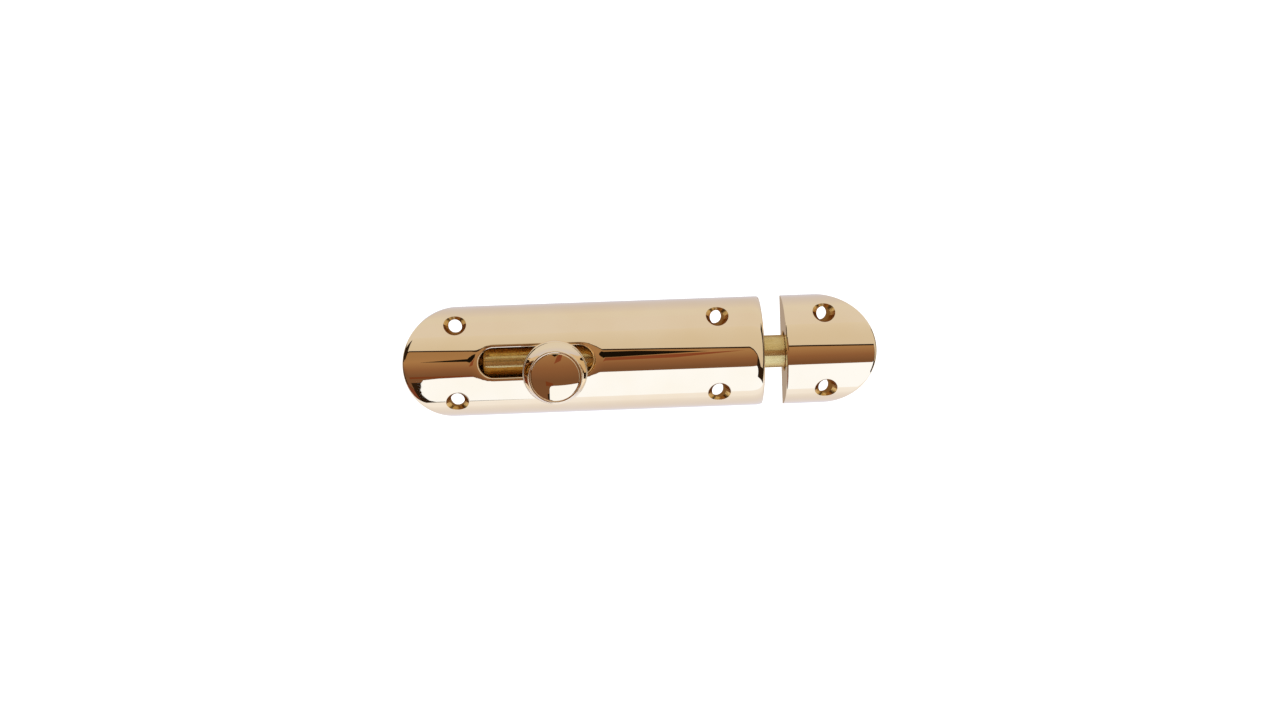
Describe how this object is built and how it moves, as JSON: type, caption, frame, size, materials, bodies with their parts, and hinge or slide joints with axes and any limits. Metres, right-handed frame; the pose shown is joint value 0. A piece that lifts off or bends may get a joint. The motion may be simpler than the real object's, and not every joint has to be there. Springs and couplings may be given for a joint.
{
  "type": "half-round surface slide bolt with keep",
  "caption": "Solid half-round brass surface slide bolt: a round rod moved by a turned knob in a slot, with a matching round-ended keep.",
  "frame": {"origin": "middle of the case's flat back, on the surface that the bolt is screwed to", "axes": "+Z out of the mounting surface towards the knob, +X the way the rod is thrown towards the keep, +Y across the case"},
  "size_m": [0.1332, 0.0312, 0.0309],
  "materials": {
    "polished_brass": "mirror polished and lacquered",
    "satin_brass": "drawn, satin",
    "bright_steel": "zinc plated, bright",
    "spring_steel": "drawn spring wire"
  },
  "bodies": {
    "case": {"case": "polished_brass"},
    "shoot": {"bolt_rod": "satin_brass", "knob": "polished_brass", "knob_stud": "bright_steel", "drag_ball": "bright_steel", "drag_spring": "spring_steel", "drag_screw": "bright_steel"},
    "keep": {"keep": "polished_brass"}
  },
  "joints": [
    {"name": "bolt_slide", "type": "slide", "parent": "case", "child": "shoot", "axis": [1, 0, 0], "range_m": [-0.0177, 0.0077]},
    {"name": "keep_gap", "type": "slide", "parent": "case", "child": "keep", "axis": [1, 0, 0], "range_m": [0, 0.025]}
  ]
}
